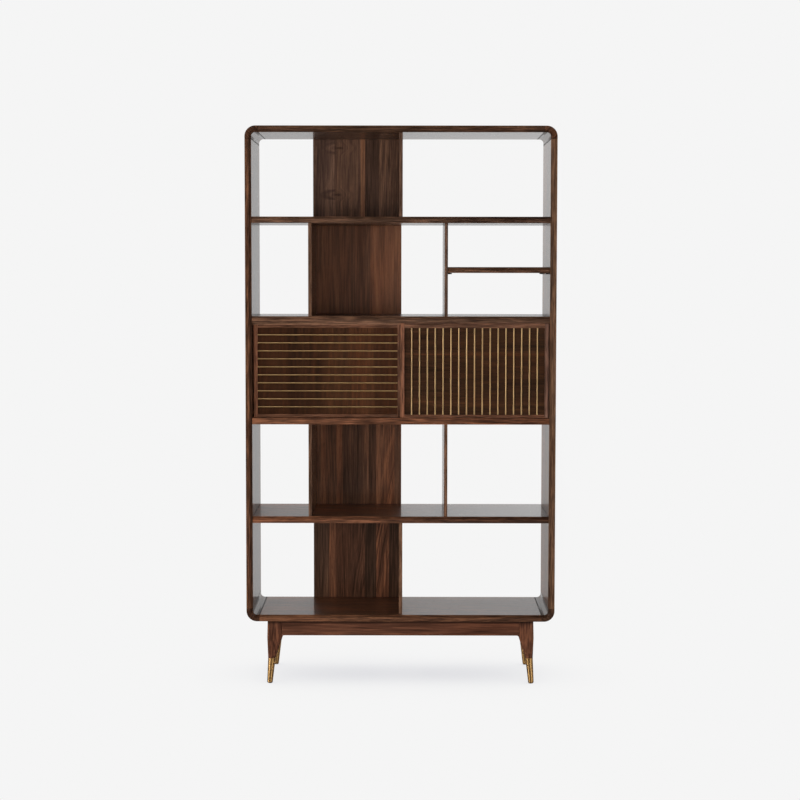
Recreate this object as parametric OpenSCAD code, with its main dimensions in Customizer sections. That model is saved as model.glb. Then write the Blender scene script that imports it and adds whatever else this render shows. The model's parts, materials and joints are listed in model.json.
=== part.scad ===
// Tall open bookcase with rounded corners, a closed row behind two sliding
// doors with metal rods, and a low base on four tapered legs.
// Millimetres, +Z up, front towards -Y, origin on the floor under the centre.

/* [Case] */
// Overall width of the case
case_w = 1110; // [960:10:1300]
// Overall depth of the case, front to back
case_d = 390; // [340:10:460]
// Thickness of the top, bottom and side boards
frame_t = 23; // [20:1:28]
// Outer radius of the four corner blocks
corner_r = 38; // [34:1:70]
// Straight part of a corner block between its arc and each seam
corner_land = 8; // [0:1:16]
// Width of the bevel round the front of the opening
bevel_w = 9; // [4:0.5:12]
// Depth of that bevel, which is also how far the shelves stand back
bevel_d = 9; // [4:0.5:12]
// Chamfer along the outer edges of the case
arris = 1.5; // [0.5:0.25:3]

/* [Rows] */
// Clear height of the bottom row
bottom_row_h = 333; // [280:1:400]
// Clear height of the row above it
fourth_row_h = 333; // [280:1:400]
// Clear height of the closed cabinet row
cabinet_h = 341; // [300:1:400]
// Clear height of the row with the small shelf
second_row_h = 332; // [280:1:400]
// Clear height of the top row
top_row_h = 298; // [240:1:400]
// Thickness of the shelves
shelf_t = 23; // [20:1:28]
// Height of the bevel along the top front edge of a shelf
shelf_bevel_h = 11; // [4:0.5:14]
// Depth of the bevel along the top front edge of a shelf
shelf_bevel_d = 10; // [4:0.5:12]

/* [Dividers and backs] */
// Thickness of the upright dividers
divider_t = 12; // [10:1:18]
// Place of the centre dividers across the width
centre_divider_x = 0; // [-60:1:60]
// Place of the left dividers across the width
left_divider_x = -325; // [-400:1:-280]
// Place of the right dividers across the width
right_divider_x = 162; // [120:1:240]
// Thickness of the back boards
back_t = 12; // [10:1:16]
// Width of the back boards in the top and bottom rows
end_back_w = 324; // [240:1:380]
// Width of the back boards in the second and fourth rows
mid_back_w = 320; // [240:1:380]

/* [Small shelf] */
// Clear height under the small shelf
small_shelf_lift = 155; // [100:1:190]
// Thickness of the small shelf
small_shelf_t = 21; // [18:1:25]
// Length of each support plate under the small shelf
support_l = 14; // [10:1:20]
// Depth of each support plate, front to back
support_w = 14; // [10:1:20]
// Thickness of each support plate
support_t = 4; // [3:0.5:5]
// Diameter of the peg that carries each support plate
peg_d = 5; // [4:0.5:6]
// Depth of the peg in the board that holds it
peg_hold = 8; // [6:0.5:9]
// Distance of the supports from the front and back of the case
support_inset = 36; // [24:1:60]

/* [Doors] */
// Width of each sliding door
door_w = 530; // [445:1:580]
// Thickness of the door frames
door_t = 18; // [16:1:22]
// Width of the upright frame members of a door
stile_w = 14; // [13:1:30]
// Height of the upper frame member of a door
top_rail_h = 17; // [13:1:30]
// Height of the lower frame member of a door
bottom_rail_h = 11; // [11:1:30]
// How far the front door stands behind the front of the shelves
door_recess = 3; // [2:0.5:8]
// Space between the front door and the rear door
door_spacing = 6; // [5:0.5:9]
// Space beside the left door when it is closed
left_door_gap = 4; // [3:0.5:12]
// Space beside the right door when it is closed
right_door_gap = 3; // [3:0.5:12]
// Space above the face of a door
door_top_gap = 1.5; // [1:0.25:2.5]
// Space below the face of a door
door_bottom_gap = 1; // [0.75:0.25:2]
// Diameter of the metal rods
rod_d = 5; // [4:0.5:6]
// Distance between two level rods in the left door
level_rod_pitch = 28.8; // [16:0.1:40]
// Distance between two upright rods in the right door
upright_rod_pitch = 28.1; // [16:0.1:40]
// Least distance from the frame of a door to the middle of its first rod
rod_margin = 20; // [12:0.5:26]
// Thickness of the wooden panel behind the rods
panel_t = 5; // [4:0.5:6]

/* [Base] */
// Height of the base, from the floor to the case
base_h = 230; // [190:1:280]
// Distance from the front and back of the case to the legs
base_setback = 8; // [4:1:30]
// Distance from the side of the case to the top of a leg
leg_inset = 75.5; // [40:0.5:120]
// Width of a leg at the top, across the front
leg_top_w = 51.5; // [44:0.5:64]
// Depth of a leg at the top, front to back
leg_top_d = 44; // [42:1:60]
// How far the outer side of a leg swells below the case
leg_swell = 1.5; // [0:0.25:4]
// Height of the rails that join the legs
apron_h = 52; // [40:1:70]
// Thickness of the rails that join the legs
apron_t = 22; // [18:1:26]
// Radius of the hollow where a rail runs down into a leg
ear_r = 9; // [5:1:14]
// Height of the brass ferrule on each leg
ferrule_h = 92.5; // [60:0.5:110]
// Diameter of a ferrule at its top
ferrule_top_d = 27; // [21:0.5:30]
// Diameter of a ferrule at its foot
ferrule_foot_d = 20; // [17:0.5:24]
// Distance from the outer side of the leg to the centre of the ferrule's top
ferrule_inset = 13.5; // [13:0.5:20]
// How far the foot of a ferrule stands outside its top
foot_splay = 7.5; // [0:0.5:14]

/* [Joinery] */
// Diameter of the dowels in the case and the shelf ends
dowel_d = 8; // [6:0.5:8]
// Length of such a dowel in the end of a board
dowel_in_end = 20; // [15:1:26]
// Length of such a dowel in the face of a board
dowel_in_face = 14; // [10:1:15]
// Diameter of the dowels in the dividers and back boards
small_dowel_d = 6; // [4:0.5:6]
// Length of such a dowel in the edge of a divider or back board
small_dowel_in_edge = 16; // [10:1:20]
// Length of such a dowel in the face of a shelf
small_dowel_in_face = 9; // [6:0.5:9]
// Diameter of the screws that hold the base to the case
screw_d = 4; // [3:0.5:5]

/* [Hidden] */

// Wood and metal colours
walnut = [0.36, 0.23, 0.16];
walnut_warm = [0.42, 0.27, 0.18];
walnut_dark = [0.24, 0.15, 0.10];
brass = [0.74, 0.58, 0.36];
bronze = [0.25, 0.20, 0.16];
beech = [0.74, 0.62, 0.46];
nylon = [0.12, 0.12, 0.12];
steel = [0.60, 0.60, 0.62];

// Smoothness of arcs, and of the arcs inside a blended shape
arc_fn = 48;
blend_fn = 32;

// Clearances: a dowel in its hole, the end of a dowel, the edge of a panel in its
// groove, a piece that slides in a groove, a body from the piece that it rests on,
// the partition from the rear door, and a cut past a face
dowel_clear = 0.1;
dowel_end_clear = 0.5;
panel_end_clear = 1;
groove_clear = 0.5;
rest_clear = 0.3;
partition_clear = 3;
cut = 1;

// Faces of the case
front_y = -case_d / 2;
back_y = case_d / 2;
inner_x = case_w / 2 - frame_t;
corner_in_r = corner_r - frame_t;
corner_len = corner_r + corner_land;
board_half_w = case_w / 2 - corner_len;

// Rows from the bottom up, each with the height of its clear space
BOTTOM = 0;
FOURTH = 1;
CABINET = 2;
SECOND = 3;
TOP = 4;
row_h = [bottom_row_h, fourth_row_h, cabinet_h, second_row_h, top_row_h];
bottom_floor = base_h + frame_t;
fourth_floor = bottom_floor + bottom_row_h + shelf_t;
cabinet_floor = fourth_floor + fourth_row_h + shelf_t;
second_floor = cabinet_floor + cabinet_h + shelf_t;
top_floor = second_floor + second_row_h + shelf_t;
row_z = [bottom_floor, fourth_floor, cabinet_floor, second_floor, top_floor];
function row_floor(row) = row_z[row];
function row_ceiling(row) = row_z[row] + row_h[row];
case_top = row_ceiling(TOP) + frame_t;

// Dividers and the back board of each row
row_dividers = [
    [centre_divider_x],
    [left_divider_x, right_divider_x],
    [centre_divider_x],
    [left_divider_x, right_divider_x],
    [centre_divider_x]
];
end_back = [centre_divider_x - divider_t / 2 - end_back_w, centre_divider_x - divider_t / 2];
mid_back = [left_divider_x + divider_t / 2, left_divider_x + divider_t / 2 + mid_back_w];
row_back = [end_back, mid_back, [-inner_x, inner_x], mid_back, end_back];

// The front edges of shelves and dividers
shelf_front_y = front_y + bevel_d;
divider_front_y = shelf_front_y + shelf_bevel_d;

// Dowels: distance from the front and back edges, and the most between two in a back board
dowel_inset = 50;
divider_dowel_inset = 80;
back_dowel_inset = 40;
back_dowel_span = 330;

// Sliding doors: the grooves in the boards above and below them
tongue_t = 7;
groove_w = tongue_t + 2 * groove_clear;
top_groove_depth = 12;
bottom_groove_depth = 6;
tongue_rise = 5;
tongue_shoulder = 1;
tongue_inset = stile_w + tongue_shoulder;
glide_l = 40;
glide_seat = 4;
strip_drop = 8;
strip_seat = 3;
front_door_y = shelf_front_y + door_recess;
rear_door_y = front_door_y + door_t + door_spacing;
left_door_x = -inner_x + left_door_gap;
right_door_x = inner_x - right_door_gap - door_w;
door_foot_z = row_floor(CABINET) + door_bottom_gap;
door_face_h = cabinet_h - door_bottom_gap - door_top_gap;
open_w = door_w - 2 * stile_w;
open_h = door_face_h - top_rail_h - bottom_rail_h;
groove_x0 = left_door_x + tongue_inset - groove_clear;
groove_x1 = right_door_x + door_w - tongue_inset + groove_clear;
partition_front_y = rear_door_y + door_t + partition_clear;

// Door frames: rods in front, the panel and the tenons in one groove behind
rod_y = 5;
rod_hold = 4;
panel_y = 10;
panel_seat = 5;
tenon_l = 9;
tenon_shoulder = 1;

// Base frame
leg_outer_x = case_w / 2 - leg_inset;
leg_inner_x = leg_outer_x - leg_top_w;
leg_front_y = front_y + base_setback;
leg_back_y = leg_front_y + leg_top_d;
leg_round = 3;
apron_step = 0.5;
apron_tenon_l = 16;
apron_tenon_t = 10;
apron_shoulder = 7;
apron_tenon_h = apron_h - 2 * apron_shoulder;
ferrule_x = leg_outer_x - ferrule_inset;
ferrule_y = leg_front_y + leg_top_d / 2;
ferrule_lean = atan(foot_splay / ferrule_h);
ferrule_tip_r = 6;
foot_flat = 0.6;
leg_tenon_d = 15;
leg_tenon_l = 60;
brace_h = 22;
brace_reach = 52;
brace_screws = [[-14, -8], [10, 12]];
screw_l = 34;
screw_head_d = 2 * screw_d;
screw_head_h = screw_d / 2;

// Section of a case board: across its thickness from the inner face, and back
// from the front edge
function frame_section() = [
    [0, bevel_d],
    [bevel_w, 0],
    [frame_t - arris, 0],
    [frame_t, arris],
    [frame_t, case_d - arris],
    [frame_t - arris, case_d],
    [0, case_d]
];

// Draws a section, given as depth and height, along the width of the case
module along_x(x0, x1, points) {
    translate([x0, front_y, 0])
        rotate([90, 0, 90])
            linear_extrude(x1 - x0)
                polygon(points);
}

module box(low, high) {
    translate(low)
        cube(high - low);
}

// How far a hole goes past the end of the dowel or rod in it. A shape with no
// clearance is the dowel or rod itself.
function past_end(clear) = clear > 0 ? dowel_end_clear : 0;

// Dowels across the joint between a corner block and its boards
module corner_dowels_at(sx, top, clear) {
    z_mid = top ? case_top - frame_t / 2 : base_h + frame_t / 2;
    z_seam = top ? case_top - corner_len : base_h + corner_len;
    long = dowel_in_face + dowel_in_end + 2 * past_end(clear);
    for (y = [front_y + dowel_inset, 0, back_y - dowel_inset]) {
        translate([sx * (board_half_w + (dowel_in_face - dowel_in_end) / 2), y, z_mid])
            rotate([0, 90, 0])
                cylinder(h = long, d = dowel_d + 2 * clear, center = true, $fn = arc_fn);
        translate([sx * (inner_x + frame_t / 2), y,
                   z_seam + (top ? 1 : -1) * (dowel_in_face - dowel_in_end) / 2])
            cylinder(h = long, d = dowel_d + 2 * clear, center = true, $fn = arc_fn);
    }
}

// Dowels between the ends of the shelf over a row and the sides of the case
module shelf_end_dowels(row, clear) {
    z = row_ceiling(row) + shelf_t / 2;
    long = dowel_in_face + dowel_in_end + 2 * past_end(clear);
    for (sx = [-1, 1], y = [front_y + dowel_inset, 0, back_y - dowel_inset])
        translate([sx * (inner_x + (dowel_in_face - dowel_in_end) / 2), y, z])
            rotate([0, 90, 0])
                cylinder(h = long, d = dowel_d + 2 * clear, center = true, $fn = arc_fn);
}

// One upright dowel at the floor and one at the ceiling of a row
module row_dowel_pair(x, y, row, clear) {
    long = small_dowel_in_edge + small_dowel_in_face + 2 * past_end(clear);
    shift = (small_dowel_in_edge - small_dowel_in_face) / 2;
    for (z = [row_floor(row) + shift, row_ceiling(row) - shift])
        translate([x, y, z])
            cylinder(h = long, d = small_dowel_d + 2 * clear, center = true, $fn = arc_fn);
}

module divider_dowels_in(row, clear) {
    for (x = row_dividers[row], y = [front_y + divider_dowel_inset, back_y - divider_dowel_inset])
        row_dowel_pair(x, y, row, clear);
}

module back_dowels_in(row, clear) {
    span = row_back[row][1] - row_back[row][0] - 2 * back_dowel_inset;
    count = 1 + ceil(span / back_dowel_span);
    for (i = [0:count - 1])
        row_dowel_pair(row_back[row][0] + back_dowel_inset + span * i / (count - 1),
                       back_y - back_t / 2, row, clear);
}

module row_dowels(row, clear) {
    divider_dowels_in(row, clear);
    back_dowels_in(row, clear);
}

// Case boards
module flat_board(top, row) {
    z = top ? case_top - frame_t : base_h + frame_t;
    dir = top ? 1 : -1;
    difference() {
        along_x(-board_half_w, board_half_w,
                [for (p = frame_section()) [p[1], z + dir * p[0]]]);
        for (sx = [-1, 1])
            corner_dowels_at(sx, top, dowel_clear);
        row_dowels(row, dowel_clear);
        if (!top)
            screws(dowel_clear);
    }
}

module top_board() {
    color(walnut)
        flat_board(true, TOP);
}

module bottom_board() {
    color(walnut_warm)
        flat_board(false, BOTTOM);
}

module side_board(sx) {
    color(walnut)
        difference() {
            translate([0, 0, base_h + corner_len])
                linear_extrude(case_top - base_h - 2 * corner_len)
                    polygon([for (p = frame_section()) [sx * (inner_x + p[0]), front_y + p[1]]]);
            for (top = [false, true])
                corner_dowels_at(sx, top, dowel_clear);
            for (row = [BOTTOM:SECOND])
                shelf_end_dowels(row, dowel_clear);
            if (sx > 0)
                support_pegs(dowel_clear);
        }
}

module corner_section() {
    polygon([for (p = frame_section()) [corner_in_r + p[0], p[1]]]);
}

// A quarter turn at the bottom right, round y = 0, with a straight part at each end
module corner_bend() {
    rotate([-90, 0, 0])
        rotate_extrude(angle = 90, $fn = 2 * arc_fn)
            corner_section();
    if (corner_land > 0) {
        linear_extrude(corner_land)
            corner_section();
        translate([-corner_land, 0, 0])
            rotate([0, 90, 0])
                linear_extrude(corner_land)
                    corner_section();
    }
}

module corner_block(sx, top) {
    color(walnut_dark)
        difference() {
            translate([sx * (case_w / 2 - corner_r), front_y, top ? case_top - corner_r : base_h + corner_r])
                mirror([sx < 0 ? 1 : 0, 0, 0])
                    mirror([0, 0, top ? 1 : 0])
                        corner_bend();
            corner_dowels_at(sx, top, dowel_clear);
        }
}

// Shelf over a row, with a bevel along the top of its front edge
module shelf(row, edge_h, edge_d) {
    z = row_ceiling(row);
    difference() {
        along_x(-inner_x, inner_x, [
            [bevel_d, z],
            [bevel_d, z + shelf_t - edge_h],
            [bevel_d + edge_d, z + shelf_t],
            [case_d, z + shelf_t],
            [case_d, z]
        ]);
        shelf_end_dowels(row, dowel_clear);
        row_dowels(row, dowel_clear);
        row_dowels(row + 1, dowel_clear);
    }
}

// Grooves that guide both doors, round at the ends as a cutter leaves them
module door_grooves(z0, z1) {
    for (y = [front_door_y, rear_door_y])
        round_ended_slot(groove_x0, groove_x1, y + door_t / 2, groove_w, z0, z1);
}

// A slot with half-round ends, made of one block and two cylinders
module round_ended_slot(x0, x1, y, w, z0, z1) {
    box([x0, y - w / 2, z0], [x1, y + w / 2, z1]);
    for (x = [x0, x1])
        translate([x, y, z0])
            cylinder(h = z1 - z0, d = w, $fn = arc_fn);
}

module upper_shelf() {
    color(walnut)
        shelf(SECOND, shelf_bevel_h, shelf_bevel_d);
}

module cabinet_top() {
    z = row_ceiling(CABINET);
    color(walnut)
        difference() {
            shelf(CABINET, shelf_bevel_h, shelf_bevel_d);
            door_grooves(z - cut, z + top_groove_depth);
            box([-inner_x - cut, strip_y0(), z - cut], [inner_x + cut, strip_y1(), z + strip_seat]);
        }
}

// The front door stands close to this edge, so it is only eased
module cabinet_bottom() {
    z = row_floor(CABINET);
    color(walnut)
        difference() {
            shelf(FOURTH, arris, arris);
            door_grooves(z - bottom_groove_depth, z + cut);
        }
}

module lower_shelf() {
    color(walnut)
        shelf(BOTTOM, shelf_bevel_h, shelf_bevel_d);
}

// Dividers and back boards
module divider(x, row, y0, y1) {
    difference() {
        box([x - divider_t / 2, y0, row_floor(row)], [x + divider_t / 2, y1, row_ceiling(row)]);
        divider_dowels_in(row, dowel_clear);
    }
}

module top_row_divider() {
    color(walnut_warm)
        divider(centre_divider_x, TOP, divider_front_y, back_y);
}

module bottom_row_divider() {
    color(walnut_warm)
        divider(centre_divider_x, BOTTOM, divider_front_y, back_y);
}

module left_divider(row) {
    color(walnut_warm)
        divider(left_divider_x, row, divider_front_y, back_y);
}

module right_divider(row) {
    color(walnut_dark)
        difference() {
            divider(right_divider_x, row, divider_front_y, back_y);
            if (row == SECOND)
                support_pegs(dowel_clear);
        }
}

module cabinet_partition() {
    color(walnut_dark)
        divider(centre_divider_x, CABINET, partition_front_y, back_y - back_t);
}

module back_board(row) {
    difference() {
        box([row_back[row][0], back_y - back_t, row_floor(row)],
            [row_back[row][1], back_y, row_ceiling(row)]);
        back_dowels_in(row, dowel_clear);
    }
}

module row_back_board(row) {
    color(walnut)
        back_board(row);
}

module cabinet_back() {
    color(walnut_dark)
        back_board(CABINET);
}

// Strip between the tracks of the two doors, let into the board above
function strip_y0() = front_door_y + door_t + groove_clear;
function strip_y1() = rear_door_y - groove_clear;

module parting_strip() {
    z = row_ceiling(CABINET);
    color(walnut_warm)
        box([-inner_x, strip_y0(), z - strip_drop], [inner_x, strip_y1(), z + strip_seat]);
}

// Small loose shelf in the second row, and the four plates that it lies on
small_shelf_z = row_floor(SECOND) + small_shelf_lift;
small_shelf_x0 = right_divider_x + divider_t / 2;

module small_shelf() {
    z = small_shelf_z;
    color(walnut)
        along_x(small_shelf_x0 + rest_clear, inner_x - rest_clear, [
            [divider_front_y - front_y, z],
            [divider_front_y - front_y, z + small_shelf_t - shelf_bevel_h],
            [divider_front_y - front_y + shelf_bevel_d, z + small_shelf_t],
            [case_d - rest_clear, z + small_shelf_t],
            [case_d - rest_clear, z]
        ]);
}

// Pegs of the supports, or their holes
module support_pegs(clear) {
    long = peg_hold + past_end(clear);
    z = small_shelf_z - rest_clear - support_t / 2;
    for (y = [front_y + support_inset, back_y - support_inset]) {
        translate([small_shelf_x0 - long, y, z])
            rotate([0, 90, 0])
                cylinder(h = long + support_l / 2, d = peg_d + 2 * clear, $fn = arc_fn);
        translate([inner_x - support_l / 2, y, z])
            rotate([0, 90, 0])
                cylinder(h = long + support_l / 2, d = peg_d + 2 * clear, $fn = arc_fn);
    }
}

module shelf_supports() {
    z1 = small_shelf_z - rest_clear;
    z0 = z1 - support_t;
    color(bronze)
        difference() {
            union() {
                support_pegs(0);
                for (y = [front_y + support_inset, back_y - support_inset]) {
                    box([small_shelf_x0, y - support_w / 2, z0],
                        [small_shelf_x0 + support_l, y + support_w / 2, z1]);
                    box([inner_x - support_l, y - support_w / 2, z0],
                        [inner_x, y + support_w / 2, z1]);
                }
            }
            // The shelf lies flat on the plates, so the pegs end level with them
            box([small_shelf_x0, front_y, z1], [inner_x, back_y, z1 + peg_d]);
        }
}

// Sliding doors, drawn from the lower left front corner of their face
// The rods stand evenly about the middle of the opening, as many as fit
function rod_gaps(opening, pitch) = floor((opening - 2 * rod_margin) / pitch);

module level_rod_shapes(clear) {
    gaps = rod_gaps(open_h, level_rod_pitch);
    z0 = bottom_rail_h + (open_h - gaps * level_rod_pitch) / 2;
    long = rod_hold + past_end(clear);
    for (i = [0:gaps])
        translate([stile_w - long, rod_y, z0 + i * level_rod_pitch])
            rotate([0, 90, 0])
                cylinder(h = open_w + 2 * long, d = rod_d + 2 * clear, $fn = arc_fn);
}

module upright_rod_shapes(clear) {
    gaps = rod_gaps(open_w, upright_rod_pitch);
    x0 = stile_w + (open_w - gaps * upright_rod_pitch) / 2;
    long = rod_hold + past_end(clear);
    for (i = [0:gaps])
        translate([x0 + i * upright_rod_pitch, rod_y, bottom_rail_h - long])
            cylinder(h = open_h + 2 * long, d = rod_d + 2 * clear, $fn = arc_fn);
}

module door_panel_shape(clear) {
    seat = clear > 0 ? panel_seat : panel_seat - panel_end_clear;
    box([stile_w - seat, panel_y - clear, bottom_rail_h - seat],
        [stile_w + open_w + seat, panel_y + panel_t + clear, bottom_rail_h + open_h + seat]);
}

// Tenons at both ends of a rail that lies between two heights
module rail_tenons(z0, z1, clear) {
    box([stile_w - tenon_l - clear, panel_y - clear, z0 - clear],
        [stile_w + cut, panel_y + panel_t + clear, z1 + clear]);
    box([stile_w + open_w - cut, panel_y - clear, z0 - clear],
        [stile_w + open_w + tenon_l + clear, panel_y + panel_t + clear, z1 + clear]);
}

module bottom_rail_tenons(clear) {
    rail_tenons(tenon_shoulder, bottom_rail_h - panel_seat, clear);
}

module top_rail_tenons(clear) {
    rail_tenons(door_face_h - top_rail_h + panel_seat, door_face_h - tenon_shoulder, clear);
}

module door_stile(right) {
    x0 = right ? door_w - stile_w : 0;
    difference() {
        box([x0, 0, 0], [x0 + stile_w, door_t, door_face_h]);
        door_panel_shape(dowel_clear);
        bottom_rail_tenons(dowel_clear);
        top_rail_tenons(dowel_clear);
        children();
    }
}

module door_top_rail() {
    z0 = door_face_h - top_rail_h;
    tongue_y = (door_t - tongue_t) / 2;
    difference() {
        union() {
            box([stile_w, 0, z0], [door_w - stile_w, door_t, door_face_h]);
            box([tongue_inset, tongue_y, z0],
                [door_w - tongue_inset, tongue_y + tongue_t, door_face_h + door_top_gap + tongue_rise]);
            top_rail_tenons(0);
        }
        door_panel_shape(dowel_clear);
        children();
    }
}

module door_bottom_rail() {
    difference() {
        union() {
            box([stile_w, 0, 0], [door_w - stile_w, door_t, bottom_rail_h]);
            bottom_rail_tenons(0);
        }
        door_panel_shape(dowel_clear);
        glide_shapes(dowel_clear);
        children();
    }
}

// Two glides under the lower rail, which stand in the groove below the door
module glide_shapes(clear) {
    y0 = (door_t - tongue_t) / 2;
    z0 = -door_bottom_gap - bottom_groove_depth + rest_clear;
    for (x = [tongue_inset, door_w - tongue_inset - glide_l])
        box([x - clear, y0 - clear, z0],
            [x + glide_l + clear, y0 + tongue_t + clear, glide_seat + clear]);
}

module at_left_door() {
    translate([left_door_x, rear_door_y, door_foot_z])
        children();
}

module at_right_door() {
    translate([right_door_x, front_door_y, door_foot_z])
        children();
}

module left_door_stile(right) {
    color(walnut_warm)
        at_left_door()
            door_stile(right)
                level_rod_shapes(dowel_clear);
}

module left_door_top_rail() {
    color(walnut_warm)
        at_left_door()
            door_top_rail();
}

module left_door_bottom_rail() {
    color(walnut_warm)
        at_left_door()
            door_bottom_rail();
}

module left_door_panel() {
    color(walnut_dark)
        at_left_door()
            door_panel_shape(0);
}

module left_door_rods() {
    color(brass)
        at_left_door()
            level_rod_shapes(0);
}

module left_door_glides() {
    color(nylon)
        at_left_door()
            glide_shapes(0);
}

module right_door_stile(right) {
    color(walnut_warm)
        at_right_door()
            door_stile(right);
}

module right_door_top_rail() {
    color(walnut_warm)
        at_right_door()
            door_top_rail()
                upright_rod_shapes(dowel_clear);
}

module right_door_bottom_rail() {
    color(walnut_warm)
        at_right_door()
            door_bottom_rail()
                upright_rod_shapes(dowel_clear);
}

module right_door_panel() {
    color(walnut_dark)
        at_right_door()
            door_panel_shape(0);
}

module right_door_rods() {
    color(brass)
        at_right_door()
            upright_rod_shapes(0);
}

module right_door_glides() {
    color(nylon)
        at_right_door()
            glide_shapes(0);
}

// Base: rails between the legs, each running down into the legs in a hollow
module apron_outline(long) {
    half = long / 2;
    difference() {
        translate([-half, -apron_h - ear_r])
            square([long, apron_h + ear_r]);
        translate([-half + ear_r, -apron_h - ear_r - cut])
            square([long - 2 * ear_r, ear_r + cut]);
        for (sx = [-1, 1])
            translate([sx * (half - ear_r), -apron_h - ear_r])
                circle(r = ear_r, $fn = arc_fn);
    }
}

// A rail along X with its outer face at y = 0, below z = 0, and its two tenons
module apron_shape(long) {
    rotate([90, 0, 0])
        translate([0, 0, -apron_t])
            linear_extrude(apron_t)
                apron_outline(long);
    apron_tenons(long, 0);
}

module apron_tenons(long, clear) {
    for (sx = [-1, 1])
        translate([sx * (long + apron_tenon_l - cut) / 2, apron_t / 2, -apron_h / 2])
            cube([apron_tenon_l + cut + 2 * clear, apron_tenon_t + 2 * clear, apron_tenon_h + 2 * clear],
                 center = true);
}

long_apron = 2 * leg_inner_x;
short_apron = case_d - 2 * base_setback - 2 * leg_top_d;

module at_front_apron() {
    translate([0, leg_front_y + apron_step, base_h])
        children();
}

module at_back_apron() {
    rotate([0, 0, 180])
        at_front_apron()
            children();
}

module at_left_apron() {
    translate([-leg_outer_x + apron_step, 0, base_h])
        rotate([0, 0, -90])
            children();
}

module at_right_apron() {
    rotate([0, 0, 180])
        at_left_apron()
            children();
}

module front_apron() {
    color(walnut_warm)
        at_front_apron()
            apron_shape(long_apron);
}

module back_apron() {
    color(walnut_warm)
        at_back_apron()
            apron_shape(long_apron);
}

module left_apron() {
    color(walnut)
        at_left_apron()
            apron_shape(short_apron);
}

module right_apron() {
    color(walnut)
        at_right_apron()
            apron_shape(short_apron);
}

// A leg is drawn at the front right and mirrored to the other corners
module at_corner(sx, sy) {
    mirror([sx < 0 ? 1 : 0, 0, 0])
        mirror([0, sy > 0 ? 1 : 0, 0])
            children();
}

module leg_section(x0, x1, z, h) {
    translate([x0 + leg_round, leg_front_y + leg_round, z])
        linear_extrude(h)
            offset(r = leg_round, $fn = blend_fn)
                square([x1 - x0 - 2 * leg_round, leg_top_d - 2 * leg_round]);
}

// Turns a shape that stands on its foot into the lean of a ferrule
module lean_at_foot() {
    translate([ferrule_x, ferrule_y, ferrule_h])
        rotate([0, -ferrule_lean, 0])
            translate([0, 0, -ferrule_h / cos(ferrule_lean) - foot_flat])
                children();
}

module leg_tenon(clear) {
    long = ferrule_h / cos(ferrule_lean) + foot_flat;
    lean_at_foot()
        translate([0, 0, long - leg_tenon_l - clear])
            cylinder(h = leg_tenon_l + ferrule_top_d, d = leg_tenon_d + 2 * clear, $fn = arc_fn);
}

module leg(sx, sy) {
    slice = 1;
    color(walnut_warm)
        at_corner(sx, sy)
            difference() {
                union() {
                    hull() {
                        leg_section(leg_inner_x, leg_outer_x, base_h - slice, slice);
                        leg_section(leg_inner_x, leg_outer_x + leg_swell,
                                    base_h - apron_h - ear_r, slice);
                        translate([ferrule_x, ferrule_y, ferrule_h])
                            cylinder(h = slice, d = ferrule_top_d, $fn = blend_fn);
                    }
                    intersection() {
                        leg_tenon(0);
                        box([0, leg_front_y, 0], [case_w / 2, leg_back_y, ferrule_h + slice]);
                    }
                }
                at_front_apron()
                    apron_tenons(long_apron, dowel_clear);
                at_right_apron()
                    apron_tenons(short_apron, dowel_clear);
            }
}

// Outline of a ferrule from its foot up, with a rounded tip
function ferrule_outline(long) = concat(
    [[0, 0]],
    [for (a = [-90:15:0])
        [ferrule_foot_d / 2 - ferrule_tip_r * (1 - cos(a)), ferrule_tip_r * (1 + sin(a))]],
    [[ferrule_top_d / 2, long], [ferrule_top_d / 2, long + ferrule_top_d / 2], [0, long + ferrule_top_d / 2]]
);

module ferrule(sx, sy) {
    long = ferrule_h / cos(ferrule_lean) + foot_flat;
    color(brass)
        at_corner(sx, sy)
            difference() {
                lean_at_foot()
                    rotate_extrude($fn = arc_fn)
                        polygon(ferrule_outline(long));
                leg_tenon(dowel_clear);
                // Cut level at the leg and at the floor
                box([0, front_y, ferrule_h], [case_w / 2, 0, 2 * ferrule_h]);
                box([0, front_y, -ferrule_h], [case_w / 2, 0, 0]);
            }
}

// Blocks that brace the corners of the base
module brace(sx, sy) {
    apron_in_y = leg_front_y + apron_step + apron_t;
    apron_in_x = leg_outer_x - apron_step - apron_t;
    at_corner(sx, sy)
        difference() {
            translate([0, 0, base_h - brace_h])
                linear_extrude(brace_h)
                    polygon([
                        [leg_inner_x - brace_reach, apron_in_y],
                        [leg_inner_x, apron_in_y],
                        [leg_inner_x, leg_back_y],
                        [apron_in_x, leg_back_y],
                        [apron_in_x, leg_back_y + brace_reach]
                    ]);
            screw_places()
                screw_shape(dowel_clear);
        }
}

module corner_braces() {
    color(beech)
        for (sx = [-1, 1], sy = [-1, 1])
            brace(sx, sy);
}

// Two screws in each brace, placed from the inner corner of the leg and driven up
// into the bottom board
module screw_places() {
    for (p = brace_screws)
        translate([leg_inner_x + p[0], leg_back_y + p[1], base_h - brace_h])
            children();
}

module screw_shape(clear) {
    cylinder(h = screw_head_h, d1 = screw_head_d + 2 * clear, d2 = screw_d + 2 * clear, $fn = arc_fn);
    cylinder(h = screw_l + clear, d = screw_d + 2 * clear, $fn = arc_fn);
}

module screws(clear) {
    for (sx = [-1, 1], sy = [-1, 1])
        at_corner(sx, sy)
            screw_places()
                screw_shape(clear);
}

module base_screws() {
    color(steel)
        screws(0);
}

// Dowels
module corner_dowels() {
    color(beech)
        for (sx = [-1, 1], top = [false, true])
            corner_dowels_at(sx, top, 0);
}

module shelf_dowels() {
    color(beech)
        for (row = [BOTTOM:SECOND])
            shelf_end_dowels(row, 0);
}

module divider_dowels() {
    color(beech)
        for (row = [BOTTOM:TOP])
            divider_dowels_in(row, 0);
}

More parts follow.
